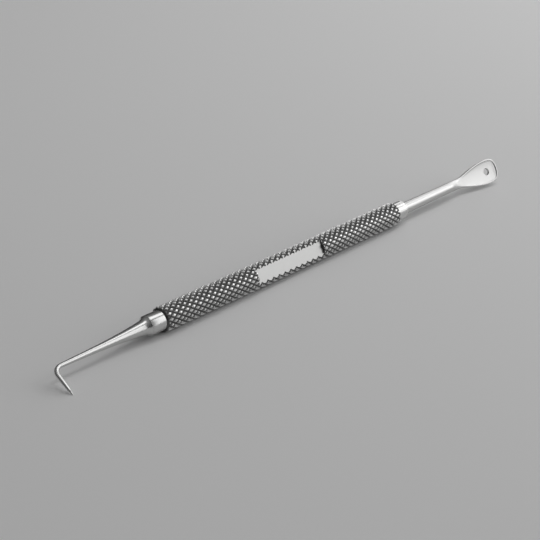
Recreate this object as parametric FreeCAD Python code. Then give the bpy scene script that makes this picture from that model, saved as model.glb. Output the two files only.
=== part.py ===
import FreeCAD, Part
import math
import os

# Double ended blackhead extractor: a knurled steel grip with a bent lancet at the front
# and a flattened spoon with one extraction hole at the rear. Millimetres, +X from the
# lancet to the spoon, +Z up. The tool lies as it rests on a table: grip and point down.

# Driving sizes of the grip: a bar with as many sides as its knurl has rows of crests
grip_diameter = 6.0
grip_length = 83.5
grip_end_chamfer = 0.6
knurl_starts = 13

# Milled flat on the side of the grip, square to a line raised above the table
flat_start = 29.4
flat_length = 23.4
flat_depth = 0.85
flat_raise_angle = 24.0

# Collars that close the two ends of the grip
collar_diameter = 4.7
front_collar_length = 3.9
rear_collar_length = 3.7
front_collar_edge_radius = 0.06
rear_collar_edge_radius = 0.5
spigot_diameter = 3.5
spigot_length = 8.0
spigot_lead_chamfer = 0.3

# Shanks of the two working ends, brazed into the collars
shank_diameter = 2.4
shank_length = 11.0
shank_lead_chamfer = 0.25
braze_gap = 0.03
bore_end_clearance = 0.6

# Lancet: flared root, long taper, one bend, ground point
flare_diameter = 4.6
flare_rim_length = 0.08
lancet_wire_diameter = 1.0
lancet_corner_distance = 30.24
lancet_turn_angle = 81.0
lancet_bend_radius = 2.5
lancet_reach = 7.69
point_length = 1.5
point_start_diameter = 0.72
point_end_diameter = 0.12
taper_length_shares = (0.0, 0.008, 0.023, 0.048, 0.085, 0.151, 0.228, 0.337, 0.499, 0.706, 1.0)
taper_radius_shares = (1.0, 0.85, 0.74, 0.68, 0.62, 0.52, 0.427, 0.317, 0.196, 0.1, 0.0)

# Spoon: round rod, pressed flat and bent forward into a dished blade with a rim and a hole
spoon_rod_diameter = 3.0
spoon_rod_thin_diameter = 2.7
spoon_rod_length = 19.6
spoon_blade_length = 20.25
spoon_half_width = 3.22
spoon_thickness = 1.0
spoon_rim_offset = 0.5
spoon_edge_radius = 0.16
spoon_rim_width = 0.38
spoon_dish_depth = 0.45
spoon_dish_radius = 13.3
spoon_back_radius = 14.0
spoon_hole_diameter = 1.9
spoon_hole_setback = 3.77
spoon_raise_angle = 26.0
spoon_bend_distance = 4.5
spoon_bend_angle = 9.0

# Plan of the blade: shares of its length, and of its half width at the same places
plan_length_shares = (
    0.0, 0.12, 0.223, 0.285, 0.323, 0.372, 0.471, 0.571,
    0.67, 0.745, 0.819, 0.868, 0.918, 0.958, 0.988, 1.0,
)
plan_width_shares = (
    0.42, 0.42, 0.424, 0.433, 0.458, 0.522, 0.674, 0.818,
    0.93, 0.984, 1.0, 0.975, 0.91, 0.79, 0.5, 0.0,
)

# Depth of the dish: shares of the blade's length, and of the full depth at the same places
dish_length_shares = (0.27, 0.38, 0.5, 0.62, 0.745, 0.845, 0.92, 0.98, 1.04)
dish_depth_shares = (-0.1, 0.24, 0.58, 0.86, 1.0, 0.95, 0.75, 0.4, -0.1)

# Where the rod is pressed flat: shares of the root's length, and of the change in each size
spoon_root_length = 7.0
spoon_root_swell = 0.9
plate_start_share = 0.78
root_length_shares = (0.0, 0.2, 0.4, 0.58, 0.7, 0.85, 1.0)
root_flatten_shares = (0.0, 0.1, 0.5, 0.9, 1.0, 1.0, 1.0)
root_swell_shares = (0.0, 0.03, 0.12, 0.26, 0.42, 0.68, 1.0)

# One overrun serves every cut
overrun = 1.0

# Worked out from the sizes above
grip_radius = grip_diameter / 2
grip_sides = 2 * knurl_starts
grip_half_height = grip_radius * math.cos(math.pi / grip_sides)
collar_radius = collar_diameter / 2
spigot_radius = spigot_diameter / 2
shank_radius = shank_diameter / 2
wire_radius = lancet_wire_diameter / 2
rear_face = grip_length
front_seat = -front_collar_length
rear_seat = grip_length + rear_collar_length
blade_start = rear_seat + spoon_rod_length
blade_end = blade_start + spoon_blade_length
hole_place = blade_end - spoon_hole_setback
blade_bend = blade_start + spoon_bend_distance

axis_x = FreeCAD.Vector(1, 0, 0)
axis_y = FreeCAD.Vector(0, 1, 0)
axis_z = FreeCAD.Vector(0, 0, 1)
origin = FreeCAD.Vector(0, 0, 0)


def turned(profile_edges):
    """Full turn about the tool's axis of a closed profile in the XY half plane."""
    face = Part.Face(Part.Wire(profile_edges))
    return face.revolve(origin, axis_x, 360)


def profile_lines(points):
    """Straight edges through (along, radius) points, closed back to the first."""
    corners = [FreeCAD.Vector(along, radius, 0) for along, radius in points]
    corners.append(corners[0])
    return [Part.makeLine(one, two) for one, two in zip(corners, corners[1:])]


def smooth_edge(points):
    """One smooth curve through the points."""
    curve = Part.BSplineCurve()
    curve.interpolate(Points=points)
    return curve.toShape()


def rod_between(start, end, radius):
    """Round bar along the tool's axis."""
    return Part.makeCylinder(radius, end - start, FreeCAD.Vector(start, 0, 0), axis_x)


def raised(shape, angle):
    """Turn a shape whose face looks along -Y until that face looks up by the angle."""
    shape.rotate(origin, axis_x, -angle)
    return shape


def circle_edges_at(shape, along, radius):
    """Round edges of a turned piece that lie at one place along the axis."""
    found = []
    for edge in shape.Edges:
        curve = edge.Curve
        if not isinstance(curve, Part.Circle):
            continue
        if abs(curve.Radius - radius) > braze_gap / 2:
            continue
        if abs(curve.Center.x - along) < braze_gap / 2:
            found.append(edge)
    return found


def grip_bar():
    """Bar whose sides run from one row of the knurl's crests to the next, one side down."""
    corners = []
    for number in range(grip_sides):
        angle = (2 * number + 1) * math.pi / grip_sides
        corners.append(FreeCAD.Vector(0, grip_radius * math.sin(angle), -grip_radius * math.cos(angle)))
    corners.append(corners[0])
    return Part.Face(Part.makePolygon(corners)).extrude(grip_length * axis_x)


def make_grip():
    """Knurled bar with chamfered ends, one blind bore in each end and the milled flat."""
    inner = grip_radius - grip_end_chamfer
    wide = grip_radius + overrun
    chamfers = [
        (0, 0),
        (0, inner),
        (wide - inner, wide),
        (grip_length - wide + inner, wide),
        (grip_length, inner),
        (grip_length, 0),
    ]
    grip = grip_bar().common(turned(profile_lines(chamfers)))
    bore_radius = spigot_radius + braze_gap
    bore_depth = spigot_length + bore_end_clearance
    grip = grip.cut(rod_between(-overrun, bore_depth, bore_radius))
    grip = grip.cut(rod_between(grip_length - bore_depth, grip_length + overrun, bore_radius))
    floor = grip_radius - flat_depth
    corner = FreeCAD.Vector(flat_start, -grip_radius - overrun, -grip_radius)
    pocket = Part.makeBox(flat_length, flat_depth + overrun, grip_diameter, corner)
    print("flat floor lies", round(floor, 3), "from the axis")
    return grip.cut(raised(pocket, flat_raise_angle))


def make_collar(flange_length, edge_radius):
    """Collar whose flange lies on the -X side of its seat at x = 0, with its spigot in +X."""
    profile = [
        (-flange_length, 0),
        (-flange_length, collar_radius),
        (0, collar_radius),
        (0, spigot_radius),
        (spigot_length - spigot_lead_chamfer, spigot_radius),
        (spigot_length, spigot_radius - spigot_lead_chamfer),
        (spigot_length, 0),
    ]
    collar = turned(profile_lines(profile))
    collar = collar.makeFillet(edge_radius, circle_edges_at(collar, -flange_length, collar_radius))
    bore = rod_between(-flange_length - overrun, spigot_length + overrun, shank_radius + braze_gap)
    return collar.cut(bore)


def make_rear_collar():
    """Same collar turned end for end and seated on the rear face of the grip."""
    collar = make_collar(rear_collar_length, rear_collar_edge_radius)
    collar.rotate(origin, axis_z, 180)
    collar.translate(FreeCAD.Vector(rear_face, 0, 0))
    return collar


def lancet_taper_profile(bend_start):
    """Closed profile of shank, flare and taper, as far as the bend."""
    flare_radius = flare_diameter / 2
    taper_start = front_seat - flare_rim_length
    taper_length = taper_start - bend_start
    curve_points = []
    for length_share, radius_share in zip(taper_length_shares, taper_radius_shares):
        along = taper_start - length_share * taper_length
        radius = wire_radius + radius_share * (flare_radius - wire_radius)
        curve_points.append(FreeCAD.Vector(along, radius, 0))
    shank_end = front_seat + shank_length
    corners = [
        curve_points[-1],
        FreeCAD.Vector(bend_start, 0, 0),
        FreeCAD.Vector(shank_end, 0, 0),
        FreeCAD.Vector(shank_end, shank_radius - shank_lead_chamfer, 0),
        FreeCAD.Vector(shank_end - shank_lead_chamfer, shank_radius, 0),
        FreeCAD.Vector(front_seat, shank_radius, 0),
        FreeCAD.Vector(front_seat, flare_radius, 0),
        curve_points[0],
    ]
    edges = [smooth_edge(curve_points)]
    edges += [Part.makeLine(one, two) for one, two in zip(corners, corners[1:])]
    return edges


def make_lancet():
    """Turned root, bent wire and ground point, with the point down on the table."""
    turn = math.radians(lancet_turn_angle)
    setback = lancet_bend_radius * math.tan(turn / 2)
    bend_start = setback - lancet_corner_distance
    root = turned(lancet_taper_profile(bend_start))

    section = Part.makeCircle(wire_radius, FreeCAD.Vector(bend_start, 0, 0), axis_x)
    bend_centre = FreeCAD.Vector(bend_start, -lancet_bend_radius, 0)
    disc = Part.Face(Part.Wire([section]))
    bend = disc.revolve(bend_centre, axis_z, lancet_turn_angle)

    straight = lancet_reach / math.sin(turn) - setback
    point_start = straight - point_length
    wire_profile = [
        (0, 0),
        (0, wire_radius),
        (point_start, point_start_diameter / 2),
        (straight, point_end_diameter / 2),
        (straight, 0),
    ]
    wire = turned(profile_lines(wire_profile))
    wire.rotate(origin, axis_z, 180 + lancet_turn_angle)
    bend_end = FreeCAD.Vector(bend_start, 0, 0)
    bend_end.x -= lancet_bend_radius * math.sin(turn)
    bend_end.y -= lancet_bend_radius * (1 - math.cos(turn))
    wire.translate(bend_end)

    lancet = root.fuse([bend, wire]).removeSplitter()
    point_radius = point_end_diameter / 2
    droop = math.degrees(math.asin((grip_half_height - point_radius) / lancet_reach))
    print("lancet droops by", round(droop, 2), "degrees")
    lancet.rotate(origin, axis_x, droop)
    return lancet


def blade_plan_face(inset):
    """Outline of the blade in the XZ plane, drawn in from its edge by the inset."""
    upper = []
    for length_share, width_share in zip(plan_length_shares, plan_width_shares):
        along = blade_start + length_share * (spoon_blade_length - inset)
        across = max(width_share * spoon_half_width - inset, 0)
        upper.append(FreeCAD.Vector(along, 0, across))
    lower = [FreeCAD.Vector(point.x, 0, -point.z) for point in reversed(upper[:-1])]
    closing = Part.makeLine(lower[-1], upper[0])
    return Part.Face(Part.Wire([smooth_edge(upper + lower), closing]))


def blade_root(thin_radius):
    """The end of the round rod, pressed flat towards the face and spread sideways."""
    back_offset = spoon_rim_offset - spoon_thickness
    front_side = []
    back_side = []
    swelling = []
    for number, length_share in enumerate(root_length_shares):
        along = blade_start + length_share * spoon_root_length
        pressed_share = root_flatten_shares[number]
        forward = max(along - blade_bend, 0) * math.tan(math.radians(spoon_bend_angle))
        front = thin_radius - pressed_share * (thin_radius - spoon_rim_offset) + forward
        back = -thin_radius + pressed_share * (thin_radius + back_offset) + forward
        wide = thin_radius + root_swell_shares[number] * spoon_root_swell
        front_side.append(FreeCAD.Vector(along, -front, 0))
        back_side.append(FreeCAD.Vector(along, -back, 0))
        swelling.append(FreeCAD.Vector(along, wide, 0))
    start_edge = Part.makeLine(back_side[0], front_side[0])
    end_edge = Part.makeLine(back_side[-1], front_side[-1])
    side_wire = Part.Wire([smooth_edge(front_side), end_edge, smooth_edge(back_side), start_edge])
    side = Part.Face(side_wire)
    side.translate(-grip_radius * axis_z)
    pressed = side.extrude(grip_diameter * axis_z)
    axis_end = FreeCAD.Vector(swelling[-1].x, 0, 0)
    axis_start = FreeCAD.Vector(blade_start, 0, 0)
    round_edges = [
        smooth_edge(swelling),
        Part.makeLine(swelling[-1], axis_end),
        Part.makeLine(axis_end, axis_start),
        Part.makeLine(axis_start, swelling[0]),
    ]
    return turned(round_edges).common(pressed)


def back_trough():
    """Long round bar in front of the blade, whose surface gives the blade its round back."""
    bar = rod_between(rear_seat, blade_end + overrun, spoon_back_radius)
    deepest = spoon_thickness - spoon_rim_offset
    bar.translate((deepest - spoon_back_radius) * axis_y)
    return bar


def dish_barrel():
    """Long barrel in front of the blade, whose surface is the floor of the dish."""
    centre = spoon_dish_depth - spoon_rim_offset - spoon_dish_radius
    floor_points = []
    for length_share, depth_share in zip(dish_length_shares, dish_depth_shares):
        along = blade_start + length_share * spoon_blade_length
        radius = spoon_dish_radius - (1 - depth_share) * spoon_dish_depth
        floor_points.append(FreeCAD.Vector(along, centre + radius, 0))
    axis_start = FreeCAD.Vector(floor_points[0].x, centre, 0)
    axis_end = FreeCAD.Vector(floor_points[-1].x, centre, 0)
    profile = [
        smooth_edge(floor_points),
        Part.makeLine(floor_points[-1], axis_end),
        Part.makeLine(axis_end, axis_start),
        Part.makeLine(axis_start, floor_points[0]),
    ]
    return Part.Face(Part.Wire(profile)).revolve(axis_start, axis_x, 360)


def blade_front_edges(plate):
    """The outline of the plate on its face side."""
    found = []
    for edge in plate.Edges:
        box = edge.BoundBox
        if edge.Length > spoon_blade_length and box.YMax < -spoon_rim_offset + spoon_edge_radius:
            found.append(edge)
    return found


def before_blade(place):
    """Block that covers all of the blade as far as one place along it."""
    corner = FreeCAD.Vector(blade_start - overrun, -grip_diameter, -grip_diameter)
    return Part.makeBox(place - corner.x, grip_diameter * 2, grip_diameter * 2, corner)


def make_spoon():
    """Shank, round rod and dished blade with its rim and hole, facing -Y and up."""
    rod_radius = spoon_rod_diameter / 2
    thin_radius = spoon_rod_thin_diameter / 2
    shank_start = rear_seat - shank_length
    profile = [
        (shank_start, 0),
        (shank_start, shank_radius - shank_lead_chamfer),
        (shank_start + shank_lead_chamfer, shank_radius),
        (rear_seat, shank_radius),
        (rear_seat, rod_radius),
        (blade_start, thin_radius),
        (blade_start, 0),
    ]
    rod = turned(profile_lines(profile))

    plan = blade_plan_face(0)
    plan.translate(-grip_radius * axis_y)
    root = blade_root(thin_radius).common(plan.extrude(grip_diameter * axis_y))
    stem = rod.fuse(root)

    # The blade is made straight, on the stem turned back by the bend, and bent at the end
    bend_point = FreeCAD.Vector(blade_bend, 0, 0)
    stem.rotate(bend_point, axis_z, spoon_bend_angle)
    plate_face = blade_plan_face(0)
    plate_face.translate(-spoon_rim_offset * axis_y)
    plate = plate_face.extrude(spoon_thickness * axis_y)
    plate = plate.cut(before_blade(blade_start + plate_start_share * spoon_root_length))
    plate = plate.makeFillet(spoon_edge_radius, blade_front_edges(plate))
    plate = plate.common(back_trough())

    inner = blade_plan_face(spoon_rim_width)
    inner.translate(-grip_radius * axis_y)
    dish = inner.extrude(grip_diameter * axis_y).common(dish_barrel())

    hole_base = FreeCAD.Vector(hole_place, -grip_radius, 0)
    hole = Part.makeCylinder(spoon_hole_diameter / 2, grip_diameter, hole_base, axis_y)
    spoon = stem.fuse(plate).removeSplitter().cut(dish).cut(hole)
    spoon.rotate(bend_point, axis_z, -spoon_bend_angle)
    return raised(spoon, spoon_raise_angle)


def main():
    os.makedirs("parts", exist_ok=True)
    pieces = {
        "knurled_grip": make_grip(),
        "front_collar": make_collar(front_collar_length, front_collar_edge_radius),
        "rear_collar": make_rear_collar(),
        "bent_lancet": make_lancet(),
        "spoon_tip": make_spoon(),
    }
    # The origin is under the middle of the whole tool, on the table
    box = Part.makeCompound(list(pieces.values())).optimalBoundingBox(False)
    shift = FreeCAD.Vector(-box.Center.x, -box.Center.y, -box.ZMin)
    print("tool axis and grip face lie at", [round(value, 4) for value in shift])
    print("whole tool measures", round(box.XLength, 3), round(box.YLength, 3), round(box.ZLength, 3))
    for name, shape in pieces.items():
        shape.translate(shift)
        print(name, "solids", len(shape.Solids), "valid", shape.isValid(), "volume", round(shape.Volume, 3))
        shape.exportStep("parts/" + name + ".step")


main()
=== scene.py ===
# %% [markdown]
# # A blackhead extractor, dressed for the studio
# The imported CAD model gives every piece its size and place. This lesson loads it as a fixed
# frame and gives each piece the shape and the finish that a toolmaker would give the steel.

# %% The frame
import math
import bpy
import bmesh
from mathutils import Matrix, Vector
from mathutils.geometry import interpolate_bezier
from mathutils.kdtree import KDTree


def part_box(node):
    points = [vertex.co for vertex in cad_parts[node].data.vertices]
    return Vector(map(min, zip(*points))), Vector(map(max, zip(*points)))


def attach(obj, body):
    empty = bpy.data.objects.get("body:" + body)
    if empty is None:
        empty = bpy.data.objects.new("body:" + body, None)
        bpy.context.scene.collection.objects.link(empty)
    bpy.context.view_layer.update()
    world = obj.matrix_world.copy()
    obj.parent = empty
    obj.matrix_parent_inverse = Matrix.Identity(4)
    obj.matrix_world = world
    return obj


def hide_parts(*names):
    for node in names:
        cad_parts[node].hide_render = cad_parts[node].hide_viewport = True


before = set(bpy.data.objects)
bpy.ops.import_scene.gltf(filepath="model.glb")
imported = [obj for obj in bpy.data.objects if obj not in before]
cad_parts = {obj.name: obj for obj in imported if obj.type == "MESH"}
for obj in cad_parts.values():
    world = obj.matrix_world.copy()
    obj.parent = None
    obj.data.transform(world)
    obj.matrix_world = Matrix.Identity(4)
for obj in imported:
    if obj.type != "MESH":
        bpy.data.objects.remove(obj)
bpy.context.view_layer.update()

# %% [markdown]
# Everything is measured in metres, but a tool this small is easier to think about in
# millimetres, so one name holds the unit. The tool's long axis is read from the boxes of the
# grip and the front collar, because every turned piece is made round it.

# %% Unit and axis
MM = 0.001
grip_low, grip_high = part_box("knurled_grip")
front_low, front_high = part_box("front_collar")
AXIS_Y = (front_low.y + front_high.y) / 2
AXIS_Z = (grip_low.z + grip_high.z) / 2
GRIP_FRONT = grip_low.x
GRIP_REAR = grip_high.x
print("the axis runs at", round(AXIS_Y / MM, 4), round(AXIS_Z / MM, 4))
print("the grip runs from", round(GRIP_FRONT / MM, 3), "to", round(GRIP_REAR / MM, 3))

# %% [markdown]
# A finish is a small sum of textures, and sums are easiest to read as Python. This class
# wraps one socket of a node. An operator on it adds the Math node. A sum or a difference may
# also start with a number, so that 1 - mask is a mask turned round. One method adds any other
# node.

# %% Shader sums
class Signal:
    """One value or colour that runs through a material."""

    def __init__(self, tree, socket):
        self.tree = tree
        self.socket = socket

    def node(self, kind, settings=None, **values):
        """Any node of this material. A socket is called by its name, or by its number as _0."""
        made = self.tree.nodes.new(kind)
        for name, value in (settings or {}).items():
            setattr(made, name, value)
        for name, value in values.items():
            key = int(name[1:]) if name[0] == "_" else name.replace("_", " ")
            if isinstance(value, Signal):
                self.tree.links.new(value.socket, made.inputs[key])
            else:
                made.inputs[key].default_value = value
        return made

    def maths(self, operation, *others):
        operands = {"_" + str(place): value for place, value in enumerate(others)}
        made = self.node("ShaderNodeMath", {"operation": operation}, **operands)
        return Signal(self.tree, made.outputs[0])

    def __add__(self, other):
        return self.maths("ADD", self, other)

    __radd__ = __add__

    def __mul__(self, other):
        return self.maths("MULTIPLY", self, other)

    def __sub__(self, other):
        return self.maths("SUBTRACT", self, other)

    def __rsub__(self, other):
        return self.maths("SUBTRACT", other, self)

    def __truediv__(self, other):
        return self.maths("DIVIDE", self, other)

    def __pow__(self, other):
        return self.maths("POWER", self, other)

    def held(self):
        """The same value, held between 0 and 1."""
        return Signal(self.tree, self.node("ShaderNodeClamp", Value=self).outputs[0])

    def step_between(self, low, high):
        """0 below low, 1 above high, and smooth between them."""
        smooth = {"interpolation_type": "SMOOTHSTEP"}
        made = self.node("ShaderNodeMapRange", smooth, Value=self, From_Min=low, From_Max=high)
        return Signal(self.tree, made.outputs[0])


# %% [markdown]
# All pieces are the same stainless steel, so one recipe makes every finish. The steel's own
# colour barely changes. What the eye reads is how rough each place is, which way the polish
# runs, and a painted shade, with a rougher surface, in the pits of the grip. The polish is noise
# with three frequencies, one for each axis: its lines run along the axis with the lowest.

# %% Steel recipe
CLOUD_GRAIN = (420, 420, 420)
ROUGHNESS_SWING = 0.05
SHADE_SWING = 0.04
# How far the painted shade darkens the grip's pits, and how much rougher they are
PAINTED_SHADE_DARKENS = 0.85
PIT_ROUGHENS = 0.15


def stretched_noise(start, spot, grain, detail):
    """Noise on Object coordinates, with its frequencies per metre along X, Y and Z."""
    mapping = start.node("ShaderNodeMapping", Vector=spot, Scale=grain)
    place = Signal(start.tree, mapping.outputs[0])
    made = start.node("ShaderNodeTexNoise", Vector=place, Scale=1.0, Detail=detail, Roughness=0.6)
    return Signal(start.tree, made.outputs[0])


def steel(name, tint, rough, grain, grain_depth, pit_shade=None):
    """Stainless steel with one polish. An optional function gives a mask of painted shade, which
    darkens the colour and raises the roughness.
    """
    material = bpy.data.materials.new(name)
    material.use_nodes = True
    tree = material.node_tree
    shader = tree.nodes["Principled BSDF"]
    start = Signal(tree, None)
    spot = Signal(tree, start.node("ShaderNodeTexCoord").outputs["Object"])
    lines = stretched_noise(start, spot, grain, 3.0)
    clouds = stretched_noise(start, spot, CLOUD_GRAIN, 2.0)
    roughness = rough + (lines - 0.5) * ROUGHNESS_SWING + (clouds - 0.5) * ROUGHNESS_SWING
    shade = 1.0 + (clouds - 0.5) * SHADE_SWING + (lines - 0.5) * SHADE_SWING
    if pit_shade is not None:
        # Painted shade: the mask darkens the colour in the pits of the grip, and also makes them
        # rougher
        pit_mask = pit_shade(start, spot)
        shade = shade * (1.0 - pit_mask * PAINTED_SHADE_DARKENS)
        roughness = roughness + pit_mask * PIT_ROUGHENS
    multiply = {"data_type": "RGBA", "blend_type": "MULTIPLY"}
    colour = start.node("ShaderNodeMix", multiply, _0=1.0, _6=(*tint, 1.0), _7=shade)
    bump = start.node("ShaderNodeBump", Strength=1.0, Distance=grain_depth * MM, Height=lines)
    tree.links.new(colour.outputs[2], shader.inputs["Base Color"])
    tree.links.new(roughness.held().socket, shader.inputs["Roughness"])
    tree.links.new(bump.outputs[0], shader.inputs["Normal"])
    shader.inputs["Metallic"].default_value = 1.0
    print("finish", name, "roughness about", rough)
    return material


# %% [markdown]
# The grip's finish needs to know where its grooves are, because the pits where two grooves
# cross get painted shade and a rougher surface. Both sets of grooves are counted as waves that
# run slantwise round the bar, and the painted shade lies where the two waves peak together. The
# numbers of the knurl are kept here, because the shape of the grip uses the same ones.

# %% The knurl's numbers
KNURL_STARTS = 13
KNURL_PITCH = 2.02 * MM
NET_START = GRIP_FRONT - 0.87 * MM
NET_TURN = 0.25
CREST_RADIUS = (grip_high.z - grip_low.z) / 2
GROOVE_RADIUS = 2.62 * MM
# The painted shade is full up to the first radius and gone past the second
PIT_SHADE_FULL_RADIUS = GROOVE_RADIUS + 0.05 * MM
PIT_SHADE_END_RADIUS = GROOVE_RADIUS + 0.30 * MM
print("grooves are", round((CREST_RADIUS - GROOVE_RADIUS) / MM, 2), "mm deep")


# %% Finishes
def groove_film(start, spot):
    """Painted shade in the pits where grooves cross: 1 there, 0 along the grooves and on the
    crests.
    """
    parts = start.node("ShaderNodeSeparateXYZ", Vector=spot)
    along = (Signal(start.tree, parts.outputs["X"]) - NET_START) / KNURL_PITCH
    across = Signal(start.tree, parts.outputs["Y"]) - AXIS_Y
    height = AXIS_Z - Signal(start.tree, parts.outputs["Z"])
    turn = across.maths("ARCTAN2", height) * (KNURL_STARTS / math.tau) - NET_TURN
    left = ((along + turn) * math.tau).maths("COSINE")
    right = ((along - turn) * math.tau).maths("COSINE")
    crossing = (left + right).step_between(1.0, 1.8)
    radius = (across * across + height * height) ** 0.5
    deep = 1.0 - radius.step_between(PIT_SHADE_FULL_RADIUS, PIT_SHADE_END_RADIUS)
    return crossing * deep


POLISHED_TINT = (0.66, 0.66, 0.655)
PRESSED_TINT = (0.63, 0.63, 0.625)
KNURLED_TINT = (0.81, 0.81, 0.805)
GROUND_TINT = (0.56, 0.56, 0.555)

# Name, tint, roughness, frequencies of the polish, and its depth in millimetres
collar_finish = steel("collar_steel", POLISHED_TINT, 0.24, (30000, 900, 900), 0.0006)
lancet_finish = steel("lancet_steel", POLISHED_TINT, 0.24, (1200, 9000, 9000), 0.0006)
spoon_finish = steel("spoon_steel", PRESSED_TINT, 0.32, (3000, 9000, 9000), 0.0008)
# The grip also gets painted shade in the pits where its grooves cross
grip_finish = steel("grip_steel", KNURLED_TINT, 0.28, (9000, 9000, 9000), 0.0010, groove_film)
flat_finish = steel("flat_steel", GROUND_TINT, 0.40, (1500, 12000, 12000), 0.0008)

# %% [markdown]
# ## Turned pieces
# Most of the tool comes off a lathe. A lathe cuts one profile all the way round, and the spin
# operator does the same: it carries a line of edges round the axis and leaves a skin behind.

# %% The lathe
WELD = 0.0005 * MM
SHARP_ANGLE = math.radians(40)


def turned(name, profile, steps):
    """A closed solid from (along, radius) points in millimetres, spun round the tool's axis."""
    blank = bmesh.new()
    points = [(along * MM, AXIS_Y, AXIS_Z + radius * MM) for along, radius in profile]
    corners = [blank.verts.new(point) for point in points]
    line = [blank.edges.new(pair) for pair in zip(corners, corners[1:])]
    bmesh.ops.spin(
        blank,
        geom=corners + line,
        cent=(0, AXIS_Y, AXIS_Z),
        axis=(1, 0, 0),
        angle=math.tau,
        steps=steps,
        use_merge=True,
    )
    bmesh.ops.remove_doubles(blank, verts=blank.verts[:], dist=WELD)
    bmesh.ops.recalc_face_normals(blank, faces=blank.faces[:])
    return finished(name, blank)


def finished(name, shape):
    """Ends a bmesh: it becomes an object of the scene, at the origin."""
    data = bpy.data.meshes.new(name)
    shape.to_mesh(data)
    shape.free()
    piece = bpy.data.objects.new(name, data)
    bpy.context.scene.collection.objects.link(piece)
    return piece


def dressed(piece, finish, node):
    """Smooth shading between hard edges, one finish, and the place of a CAD piece."""
    piece.data.shade_smooth()
    piece.data.set_sharp_from_angle(angle=SHARP_ANGLE)
    piece.data.materials.clear()
    piece.data.materials.append(finish)
    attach(piece, "root")
    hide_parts(node)
    print(piece.name, "has", len(piece.data.polygons), "faces")


# %% [markdown]
# ## The knurled grip
# Two wheels with slanted teeth are pressed into the turning bar. Each cuts thirteen grooves
# that wind round it, one set to the left and one to the right, and diamonds stay between
# them. The two sets are the diagonals of a net of oblong cells. So a flat net is made first,
# a poke adds the diagonals, and the net is then wrapped round the bar. Modelling one diamond
# and repeating it would leave more than a thousand seams to close.

# %% A net of grooves
cells = math.ceil((GRIP_REAR - NET_START) / KNURL_PITCH)
net = bmesh.new()
bmesh.ops.create_grid(net, x_segments=cells, y_segments=KNURL_STARTS, size=0.5)
bmesh.ops.poke(net, faces=net.faces[:])
for vertex in net.verts:
    along = NET_START + (vertex.co.x + 0.5) * cells * KNURL_PITCH
    angle = (vertex.co.y + NET_TURN / KNURL_STARTS) * math.tau
    across = GROOVE_RADIUS * math.sin(angle)
    vertex.co = (along, AXIS_Y + across, AXIS_Z - GROOVE_RADIUS * math.cos(angle))
bmesh.ops.remove_doubles(net, verts=net.verts[:], dist=2 * WELD)
print("the net has", len(net.faces), "corners of diamonds in", cells, "cells along")

# %% [markdown]
# The sides of the cells aren't grooves, so they dissolve, and what they held apart joins
# into diamonds. Each diamond is inset twice. The first inset leaves the narrow floor of the
# groove, and the second is carried out to the bar's full radius, which makes the sloping
# flanks. A little bevel takes the edge off each crest, as the tumbling does after knurling.

# %% Diamonds
GROOVE_FLOOR = 0.05 * MM
FLOOR_RISE = 0.02 * MM
FLANK = 0.32 * MM
CREST_BEVEL = 0.02 * MM


def runs_along_groove(edge):
    step = abs(edge.verts[0].co.x - edge.verts[1].co.x)
    return abs(step - KNURL_PITCH / 2) < KNURL_PITCH / 4


inner_edges = [edge for edge in net.edges if not edge.is_boundary]
cell_sides = [edge for edge in inner_edges if not runs_along_groove(edge)]
bmesh.ops.dissolve_edges(net, edges=cell_sides, use_verts=False)
open_edges = [edge for edge in net.edges if edge.is_boundary]
bmesh.ops.holes_fill(net, edges=open_edges, sides=0)
bmesh.ops.recalc_face_normals(net, faces=net.faces[:])
diamonds = [face for face in net.faces if len(face.verts) == 4]
for inset, radius in ((GROOVE_FLOOR, GROOVE_RADIUS + FLOOR_RISE), (FLANK, CREST_RADIUS)):
    bmesh.ops.inset_individual(net, faces=diamonds, thickness=inset, use_even_offset=True)
    for vertex in {vertex for face in diamonds for vertex in face.verts}:
        spoke = Vector((0, vertex.co.y - AXIS_Y, vertex.co.z - AXIS_Z))
        vertex.co += spoke * (radius / spoke.length - 1)
crests = list({edge for face in diamonds for edge in face.edges})
bmesh.ops.bevel(
    net,
    geom=crests,
    offset=CREST_BEVEL,
    segments=1,
    profile=0.5,
    affect="EDGES",
    material=-1,
)
print(len(diamonds), "diamonds,", len(net.faces), "faces")
grip = finished("knurled_bar", net)

# %% [markdown]
# The net runs past both ends, and then the ends are cut as a lathe cuts them. One turned form
# holds both chamfers and the blind bores for the spigots, and the grip is what the net and
# that form have in common. The mill then takes the flat. It goes deeper than the crests, so
# the long edges of the flat come out serrated. Booleans are right here, because each cut goes
# through the middle of diamonds.

# %% The lathe's form
BAR_RADIUS = 3.0
CHAMFER = 0.6
CHAMFER_OVERRUN = 1.5
BORE_RADIUS = 1.78
BORE_DEPTH = 8.6
front, rear = GRIP_FRONT / MM, GRIP_REAR / MM
face_radius = BAR_RADIUS - CHAMFER
lathe_profile = [
    (front + BORE_DEPTH, 0),
    (front + BORE_DEPTH, BORE_RADIUS),
    (front, BORE_RADIUS),
    (front, face_radius),
    (front + CHAMFER_OVERRUN, face_radius + CHAMFER_OVERRUN),
    (rear - CHAMFER_OVERRUN, face_radius + CHAMFER_OVERRUN),
    (rear, face_radius),
    (rear, BORE_RADIUS),
    (rear - BORE_DEPTH, BORE_RADIUS),
    (rear - BORE_DEPTH, 0),
]
lathe_form = turned("lathe_form", lathe_profile, 96)
print("each end face is a ring", round(face_radius - BORE_RADIUS, 2), "mm wide")

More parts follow.
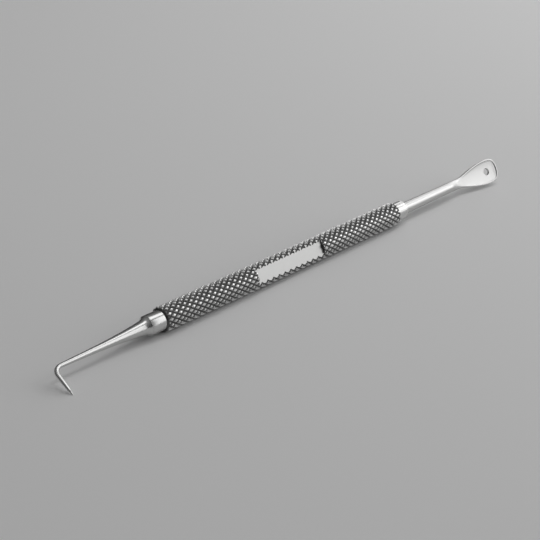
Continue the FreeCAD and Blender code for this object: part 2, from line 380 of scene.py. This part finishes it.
# %% The end mill
FLAT_RAISE = math.radians(24)
FLAT_DISTANCE = 2.15
FLAT_START = 29.4
FLAT_LENGTH = 23.4
MILL_SIZE = Vector((FLAT_LENGTH, 2, 8))
flat_out = Vector((0, -math.cos(FLAT_RAISE), math.sin(FLAT_RAISE)))
mill_place = Vector((front + FLAT_START + FLAT_LENGTH / 2, -FLAT_DISTANCE - MILL_SIZE.y / 2, 0))
mill_turn = Matrix.Rotation(-FLAT_RAISE, 3, "X")
mill = bmesh.new()
bmesh.ops.create_cube(mill, size=1.0)
bmesh.ops.scale(mill, verts=mill.verts[:], vec=MILL_SIZE * MM)
bmesh.ops.translate(mill, verts=mill.verts[:], vec=mill_place * MM)
bmesh.ops.rotate(mill, verts=mill.verts[:], cent=(0, 0, 0), matrix=mill_turn)
bmesh.ops.translate(mill, verts=mill.verts[:], vec=(0, AXIS_Y, AXIS_Z))
end_mill = finished("end_mill", mill)
print("the flat lies", FLAT_DISTANCE, "mm from the axis")


# %% Cutting
def cut(piece, cutter, operation):
    """One boolean cut, applied to the piece at once. The cutter is thrown away."""
    modifier = piece.modifiers.new(operation, "BOOLEAN")
    modifier.operation = operation
    modifier.solver = "EXACT"
    modifier.object = cutter
    bpy.context.view_layer.update()
    evaluated = piece.evaluated_get(bpy.context.evaluated_depsgraph_get())
    shape = bpy.data.meshes.new_from_object(evaluated)
    piece.modifiers.clear()
    piece.data = shape
    bpy.data.objects.remove(cutter)


cut(grip, lathe_form, "INTERSECT")
cut(grip, end_mill, "DIFFERENCE")
print("the cut grip has", len(grip.data.polygons), "faces")

# %% [markdown]
# The flat is ground after the knurl, so it has a finish of its own. It could be painted with
# a mask in the grip's material, but the mill has left it as faces that look straight out of
# it, so those faces simply take a second material.

# %% Dressing the grip
grip.data.materials.append(grip_finish)
grip.data.materials.append(flat_finish)
on_the_flat = 0
for face in grip.data.polygons:
    height = (face.center - Vector((0, AXIS_Y, AXIS_Z))).dot(flat_out)
    looks_out = face.normal.dot(flat_out) > 0.999
    face.material_index = int(looks_out and abs(height - FLAT_DISTANCE * MM) < 0.001 * MM)
    on_the_flat += face.material_index
print("faces of the flat:", on_the_flat)
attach(grip, "root")
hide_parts("knurled_grip")

# %% [markdown]
# ## The collars
# A ferrule joins each working end to the grip. Its wide ring stands against the end face, and
# a thinner spigot goes into the blind bore. It's one turned piece with a bore right through.
# Both have the same section but for the edge of the ring, so one function draws it for either
# end. The front ring is nearly sharp there and the rear one is well rounded, which is how the
# two ends tell themselves apart. An edge is given by how far each of its points stands in from
# the ring's end and from its radius.

# %% Collars
COLLAR_RADIUS = 2.35
COLLAR_BORE = 1.23
SPIGOT_RADIUS = 1.75
SPIGOT_LENGTH = 8.0
SPIGOT_LEAD = 0.3
BROKEN_EDGE = 0.05
FRONT_RING = 3.9
REAR_RING = 3.7
REAR_EDGE_RADIUS = 0.5
FRONT_EDGE = [(0, 0.06), (0.018, 0.018), (0.06, 0)]
quarter = [math.radians(step * 7.5) for step in range(13)]
REAR_EDGE = [
    (REAR_EDGE_RADIUS * (1 - math.cos(turn)), REAR_EDGE_RADIUS * (1 - math.sin(turn)))
    for turn in quarter
]


def ferrule_profile(face, outward, ring_length, ring_edge):
    """Section of a ferrule whose ring stands out from one end face of the grip."""
    ring_end = face + outward * ring_length
    spigot_end = face - outward * SPIGOT_LENGTH
    return [
        (ring_end, COLLAR_BORE),
        *((ring_end - outward * back, COLLAR_RADIUS - down) for back, down in ring_edge),
        (face + outward * BROKEN_EDGE, COLLAR_RADIUS),
        (face, COLLAR_RADIUS - BROKEN_EDGE),
        (face, SPIGOT_RADIUS),
        (spigot_end + outward * SPIGOT_LEAD, SPIGOT_RADIUS),
        (spigot_end, SPIGOT_RADIUS - SPIGOT_LEAD),
        (spigot_end, COLLAR_BORE),
        (ring_end, COLLAR_BORE),
    ]


front_profile = ferrule_profile(front, -1, FRONT_RING, FRONT_EDGE)
rear_profile = ferrule_profile(rear, 1, REAR_RING, REAR_EDGE)
front_ferrule = turned("front_ferrule", front_profile, 96)
rear_ferrule = turned("rear_ferrule", rear_profile, 96)
dressed(front_ferrule, collar_finish, "front_collar")
dressed(rear_ferrule, collar_finish, "rear_collar")

# %% [markdown]
# ## Curves from a few sizes
# A taper or the edge of a blade is known at a few places only. The first function gives the
# height of a smooth curve through them that never swings past a size it was given. The second
# draws a smooth curve through points in a plane, so it can also turn back on itself.

# %% Smooth curves
def smooth_height(sizes, place):
    """Height at one place of the smooth curve through (place, height) sizes."""
    pairs = zip(sizes, sizes[1:])
    steps = [(there[1] - here[1]) / (there[0] - here[0]) for here, there in pairs]
    slopes = [steps[0]]
    for before, after in zip(steps, steps[1:]):
        slopes.append(2 * before * after / (before + after) if before * after > 0 else 0)
    slopes.append(steps[-1])
    number = 0
    while number < len(steps) - 1 and place > sizes[number + 1][0]:
        number += 1
    here, there = sizes[number], sizes[number + 1]
    span = there[0] - here[0]
    share = min(max((place - here[0]) / span, 0), 1)
    rise = share * share * (3 - 2 * share)
    height = here[1] + (there[1] - here[1]) * rise
    height += span * slopes[number] * share * (1 - share) ** 2
    return height - span * slopes[number + 1] * share ** 2 * (1 - share)


def smooth_line(points, steps):
    """Points on a smooth curve in a plane, without the point where it ends.

    The first and the last of the given points aren't on it. They only steer its two ends.
    """
    points = [Vector(point) for point in points]
    drawn = []
    for before, here, there, beyond in zip(points, points[1:], points[2:], points[3:]):
        first_handle = here + (there - before) / 6
        second_handle = there - (beyond - here) / 6
        drawn += interpolate_bezier(here, first_handle, second_handle, there, steps + 1)[:-1]
    return [(point.x, point.y) for point in drawn]


# %% [markdown]
# Both working ends are turned straight and bent afterwards round a pin, which keeps their
# section round. The mesh is bent in the same way: what lies past the start of the bend is
# rolled on to the arc, and the rest goes straight on. Both also have the same shank, which
# sits in the bore of its collar.

# %% Bending, turning and the shank
SHANK_RADIUS = 1.2
SHANK_LENGTH = 11.0
SHANK_LEAD = 0.25


def bent(piece, start, radius, turn, towards):
    """Bends a straight piece forward round a pin. Its free end points along +X or -X."""
    for vertex in piece.data.vertices:
        past = (vertex.co.x - start) * towards
        if past <= 0:
            continue
        angle = min(past / radius, turn)
        beyond = max(past - radius * turn, 0)
        arm = radius + vertex.co.y - AXIS_Y
        vertex.co.x = start + towards * (arm * math.sin(angle) + beyond * math.cos(angle))
        vertex.co.y = AXIS_Y - radius + arm * math.cos(angle) - beyond * math.sin(angle)


def rolled(piece, angle):
    """Turns a piece round the tool's axis."""
    there = Matrix.Translation((0, AXIS_Y, AXIS_Z))
    piece.data.transform(there @ Matrix.Rotation(angle, 4, "X") @ there.inverted())


def shank_profile(seat, inward, root_radius, root_edge):
    """The shank inside a collar, out to the root of the working end against the ring."""
    tail = seat + inward * SHANK_LENGTH
    return [
        (tail, 0),
        (tail, SHANK_RADIUS - SHANK_LEAD),
        (tail - inward * SHANK_LEAD, SHANK_RADIUS),
        (seat, SHANK_RADIUS),
        (seat, root_radius - root_edge),
        (seat - inward * root_edge, root_radius),
    ]


# %% [markdown]
# ## The lancet
# The lancet is one piece of wire stock: a shank inside the collar, a thin rim against it, a
# flare that runs out into a long taper, one bend, and a point ground on the last millimetres.
# All of it is turned, so it's one profile. The flare is steep at the rim and almost straight
# from two millimetres on, and that change is what breaks the long highlight in front of the
# collar.

# %% The lancet's sizes
FLARE_RADIUS = 2.3
FLARE_RIM = 0.08
WIRE_RADIUS = 0.5
TAPER_LENGTH = 24.125
TAPER_RINGS = 60
TAPER_SIZES = [
    (0, FLARE_RADIUS),
    (0.12, 2.18),
    (0.35, 2.02),
    (0.7, 1.86),
    (1.15, 1.74),
    (1.75, 1.645),
    (2.5, 1.56),
    (3.64, 1.445),
    (5.5, 1.269),
    (8.13, 1.071),
    (12.04, 0.853),
    (17.03, 0.68),
    (TAPER_LENGTH, WIRE_RADIUS),
]
LANCET_TURN = math.radians(81)
LANCET_ROLL = math.radians(22.3)
LANCET_PIN = 2.5
BEND_RINGS = 24
LEG_SIZES = [
    (4.11, 0.362),
    (4.19, 0.350),
    (5.63, 0.062),
    (5.651, 0.040),
    (5.651, 0),
]
front_seat = front - FRONT_RING
taper_front = front_seat - FLARE_RIM
bend_front = taper_front - TAPER_LENGTH
leg_start = bend_front - LANCET_PIN * LANCET_TURN
print("the lancet's wire bends", round(front_seat - bend_front, 2), "mm out of the collar")

# %% The bent lancet
lancet_profile = shank_profile(front_seat, 1, FLARE_RADIUS, 0.03)
for ring in range(TAPER_RINGS + 1):
    distance = TAPER_LENGTH * (ring / TAPER_RINGS) ** 2
    lancet_profile.append((taper_front - distance, smooth_height(TAPER_SIZES, distance)))
for ring in range(1, BEND_RINGS + 1):
    along = bend_front + (leg_start - bend_front) * ring / BEND_RINGS
    lancet_profile.append((along, WIRE_RADIUS))
lancet_profile += [(leg_start - distance, radius) for distance, radius in LEG_SIZES]
lancet = turned("drawn_lancet", lancet_profile, 64)
bent(lancet, bend_front * MM, LANCET_PIN * MM, LANCET_TURN, -1)
rolled(lancet, LANCET_ROLL)
dressed(lancet, lancet_finish, "bent_lancet")

# %% [markdown]
# ## The spoon
# The other end is a round rod whose last twenty millimetres are pressed in a die. The die
# spreads the rod into a blade, gives it a round back and leaves a shallow dish with a thin
# rim. So the rod is turned first, with many rings where the blade will be, and each ring is
# then pressed from a circle into its own section. The half widths of the blade are shares of
# its greatest, at shares of its length. The tree of edge points answers how far a spot lies
# from the edge, which is where the rim is.

# %% The blade's outline
ROD_LENGTH = 19.6
ROD_RADIUS = 1.35
ROOT_RADIUS = 1.5
HALF_WIDTH = 3.22
BLADE_LENGTH = 20.25
OUTLINE = [
    (0, 0.42),
    (0.12, 0.42),
    (0.223, 0.424),
    (0.285, 0.433),
    (0.323, 0.458),
    (0.372, 0.522),
    (0.471, 0.674),
    (0.571, 0.818),
    (0.67, 0.93),
    (0.745, 0.984),
    (0.819, 1),
    (0.868, 0.975),
    (0.918, 0.91),
    (0.958, 0.79),
    (0.988, 0.5),
    (1, 0),
]
outline_points = [(share * BLADE_LENGTH, width * HALF_WIDTH) for share, width in OUTLINE]
one_before = (-outline_points[1][0], outline_points[0][1])
one_after = (outline_points[-2][0], -outline_points[-2][1])
stations = smooth_line([one_before, *outline_points, one_after], 8)
edge_points = smooth_line([one_before, *outline_points, one_after], 40)
edge = KDTree(2 * len(edge_points))
for number, (along, across) in enumerate(edge_points):
    edge.insert((along, across, 0), 2 * number)
    edge.insert((along, -across, 0), 2 * number + 1)
edge.balance()
print("the blade has", len(stations), "rings")

# %% The blade's section
HALF_THICKNESS = 0.5
BACK_RADIUS = 14
DISH_RADIUS = 13.3
RIM_WIDTH = 0.26
RIM_SLOPE = 0.26
PRESSED = [
    (0, 0),
    (1.4, 0.07),
    (2.8, 0.33),
    (4.2, 0.7),
    (5.6, 0.94),
    (6.8, 1),
    (25, 1),
]
SQUARENESS = [
    (0, 2),
    (2.0, 2.05),
    (4.0, 2.5),
    (6.0, 4),
    (8.0, 8),
    (10.0, 13),
    (25, 13),
]
DISH = [
    (5.2, 0),
    (7.7, 0.11),
    (10.12, 0.26),
    (12.55, 0.387),
    (15.09, 0.45),
    (17.11, 0.4275),
    (18.63, 0.3375),
    (19.85, 0.18),
    (25, 0),
]
print("the dish is", max(depth for place, depth in DISH), "mm deep at most")


# %% Pressing
def station_width(along):
    """Half width of the blade at one of its rings."""
    for here, there in zip(stations, stations[1:]):
        if along <= there[0]:
            share = (along - here[0]) / (there[0] - here[0])
            return here[1] + (there[1] - here[1]) * share
    return stations[-1][1]


def pressed(piece, blade_start):
    """Presses the rings of the rod into the sections of the blade, before it's bent."""
    for vertex in piece.data.vertices:
        along = vertex.co.x / MM - blade_start
        if along <= 0.001:
            continue
        share = min(max((vertex.co.z - AXIS_Z) / (ROD_RADIUS * MM), -1), 1)
        side = (vertex.co.y - AXIS_Y) / MM
        height = share * station_width(along)
        flat = smooth_height(PRESSED, along)
        power = smooth_height(SQUARENESS, along)
        middle = -flat * height * height / (4 * BACK_RADIUS)
        half_thickness = ROD_RADIUS - flat * (ROD_RADIUS - HALF_THICKNESS) + middle
        skin = half_thickness * (1 - abs(share) ** power) ** (1 / power)
        on_the_axis = abs(side) < 0.0001 and abs(share) < 0.5
        if on_the_axis:
            skin = 0
        if side > 0:
            vertex.co.y = AXIS_Y + (middle + skin) * MM
        else:
            depth = max(smooth_height(DISH, along) - height * height / (2 * DISH_RADIUS), 0)
            inward = edge.find((along, height, 0))[2]
            inside = min(max((inward - RIM_WIDTH) / RIM_SLOPE, 0), 1)
            depth *= inside * inside * (3 - 2 * inside)
            vertex.co.y = AXIS_Y + (middle - skin + depth) * MM
        vertex.co.z = AXIS_Z + height * MM


rear_seat = rear + REAR_RING
blade_start = rear_seat + ROD_LENGTH
rod_profile = shank_profile(rear_seat, -1, ROOT_RADIUS, 0.04)
rod_profile += [(blade_start + along, ROD_RADIUS) for along, width in stations]
rod_profile.append((blade_start + stations[-1][0], 0))
spoon = turned("pressed_spoon", rod_profile, 128)
pressed(spoon, blade_start)
print("the blade starts", round(blade_start - rear_seat, 2), "mm out of the collar")

# %% [markdown]
# The hole is drilled through the blade, and both its edges are broken with a countersink so
# that they don't cut. The drill is a turned form too. It is laid across the tool and bent
# along with the blade, so that it stays square to it.

# %% The hole
HOLE_DISTANCE = 16.48
HOLE_RADIUS = 0.95
FRONT_SINK, BACK_SINK = -0.03, 0.44
DRILL_FRONT, DRILL_BACK = -3.0, 2.5
drill_profile = [
    (DRILL_FRONT, 0),
    (DRILL_FRONT, HOLE_RADIUS + FRONT_SINK - DRILL_FRONT),
    (FRONT_SINK, HOLE_RADIUS),
    (BACK_SINK, HOLE_RADIUS),
    (DRILL_BACK, HOLE_RADIUS + DRILL_BACK - BACK_SINK),
    (DRILL_BACK, 0),
]
drill = turned("drill", drill_profile, 64)
to_axis = Matrix.Translation((0, AXIS_Y, AXIS_Z))
to_hole = Matrix.Translation(((blade_start + HOLE_DISTANCE) * MM, 0, 0))
lay_across = Matrix.Rotation(math.radians(90), 4, "Z")
drill.data.transform(to_hole @ to_axis @ lay_across @ to_axis.inverted())
print("the hole is", 2 * HOLE_RADIUS, "mm wide")

# %% The bent spoon
SPOON_TURN = math.radians(9)
SPOON_ROLL = math.radians(-26)
SPOON_PIN = 20
SPOON_CORNER = 4.5
bend_rear = blade_start + SPOON_CORNER - SPOON_PIN * math.tan(SPOON_TURN / 2)
for piece in (spoon, drill):
    bent(piece, bend_rear * MM, SPOON_PIN * MM, SPOON_TURN, 1)
    rolled(piece, SPOON_ROLL)
cut(spoon, drill, "DIFFERENCE")
dressed(spoon, spoon_finish, "spoon_tip")

# %% [markdown]
# The tool lies on a plain pale table. The floor is one big sheet.

# %% Floor
HALF_FLOOR = 4.0
FLOOR_GREY = 0.86
sheet = bmesh.new()
bmesh.ops.create_grid(sheet, x_segments=1, y_segments=1, size=HALF_FLOOR)
floor = finished("floor", sheet)
floor_paint = bpy.data.materials.new("floor_paint")
floor_paint.use_nodes = True
paint_inputs = floor_paint.node_tree.nodes["Principled BSDF"].inputs
paint_inputs["Base Color"].default_value = (FLOOR_GREY, FLOOR_GREY, FLOOR_GREY, 1)
paint_inputs["Roughness"].default_value = 0.9
paint_inputs["Specular IOR Level"].default_value = 0.2
floor.data.materials.append(floor_paint)
print("the floor is", 2 * HALF_FLOOR, "m wide")

# %% [markdown]
# Polished steel shows its surroundings, so the lamps are broad soft boxes whose edges make
# the bright bands along the rods. One stands in front, one at the spoon's end lights the far
# flanks of the diamonds, and a narrow one hangs above. The gap between the front one and the
# one above draws the dark line along the collars.

# %% Light
def soft_box(name, place, target, width, height, radiance):
    """A soft box of even brightness. Its power follows from the radiance and its area."""
    lamp = bpy.data.lights.new(name, "AREA")
    lamp.shape = "RECTANGLE"
    lamp.size = width
    lamp.size_y = height
    lamp.energy = radiance * math.pi * width * height
    box = bpy.data.objects.new(name, lamp)
    box.location = place
    box.rotation_euler = (Vector(target) - Vector(place)).to_track_quat("-Z", "Y").to_euler()
    bpy.context.scene.collection.objects.link(box)
    print(name, "gives", round(lamp.energy, 3), "W")


soft_box("front_soft_box", (0.85, -0.68, 0.43), (0.85, 0, 0), 1.2, 0.92, 1.26)
soft_box("right_soft_box", (1.45, 0.10, 0.50), (0, 0.10, 0.10), 1.9, 0.95, 1.26)
soft_box("top_soft_box", (0.58, -0.02, 0.70), (0.58, -0.02, 0), 1.12, 0.36, 1.3)

# %% [markdown]
# A room is lightest overhead, where the ceiling throws the light back, and darker towards the
# skirting. The dark part matters: it draws the dark lines along the rods.

# %% Room
SKIRTING_LIGHT = 0.04
CEILING_LIGHT = 0.25
world = bpy.data.worlds.new("studio")
world.use_nodes = True
room = Signal(world.node_tree, None)
direction = Signal(world.node_tree, room.node("ShaderNodeTexCoord").outputs["Generated"])
parts = room.node("ShaderNodeSeparateXYZ", Vector=direction)
upward = Signal(world.node_tree, parts.outputs["Z"]).held()
brightness = SKIRTING_LIGHT + upward * upward * CEILING_LIGHT
background = world.node_tree.nodes["Background"]
world.node_tree.links.new(brightness.socket, background.inputs["Color"])
bpy.context.scene.world = world
print("the room gives", SKIRTING_LIGHT, "at the skirting and", CEILING_LIGHT, "more overhead")

# %% [markdown]
# The camera stands where the photographer's stood: low, in front of the lancet's end, with a
# long lens. It is turned by its own three directions, because the lean of the photograph is
# small and hard to give with a tracking constraint.

# %% Camera
EYE = Vector((-251.418, -208.510, 141.412)) * MM
LOOK_DOWN = math.radians(23.4565)
LOOK_RIGHT = math.radians(48.7242)
LEAN = math.radians(-0.2110)
lens = bpy.data.cameras.new("camera")
lens.sensor_width = 36.0
lens.lens = 100.0
lens.clip_start = 0.01
camera = bpy.data.objects.new("camera", lens)
bpy.context.scene.collection.objects.link(camera)
forward = Vector((
    math.cos(LOOK_DOWN) * math.sin(LOOK_RIGHT),
    math.cos(LOOK_DOWN) * math.cos(LOOK_RIGHT),
    -math.sin(LOOK_DOWN),
))
level_right = Vector((math.cos(LOOK_RIGHT), -math.sin(LOOK_RIGHT), 0))
level_up = level_right.cross(forward)
right = math.cos(LEAN) * level_right + math.sin(LEAN) * level_up
up = math.cos(LEAN) * level_up - math.sin(LEAN) * level_right
turn = Matrix((right, up, -forward)).transposed().to_4x4()
camera.matrix_world = Matrix.Translation(EYE) @ turn
bpy.context.scene.camera = camera
bpy.context.scene.view_settings.view_transform = "Standard"
print("the camera stands", round(EYE.length / MM), "mm from the frame's origin")
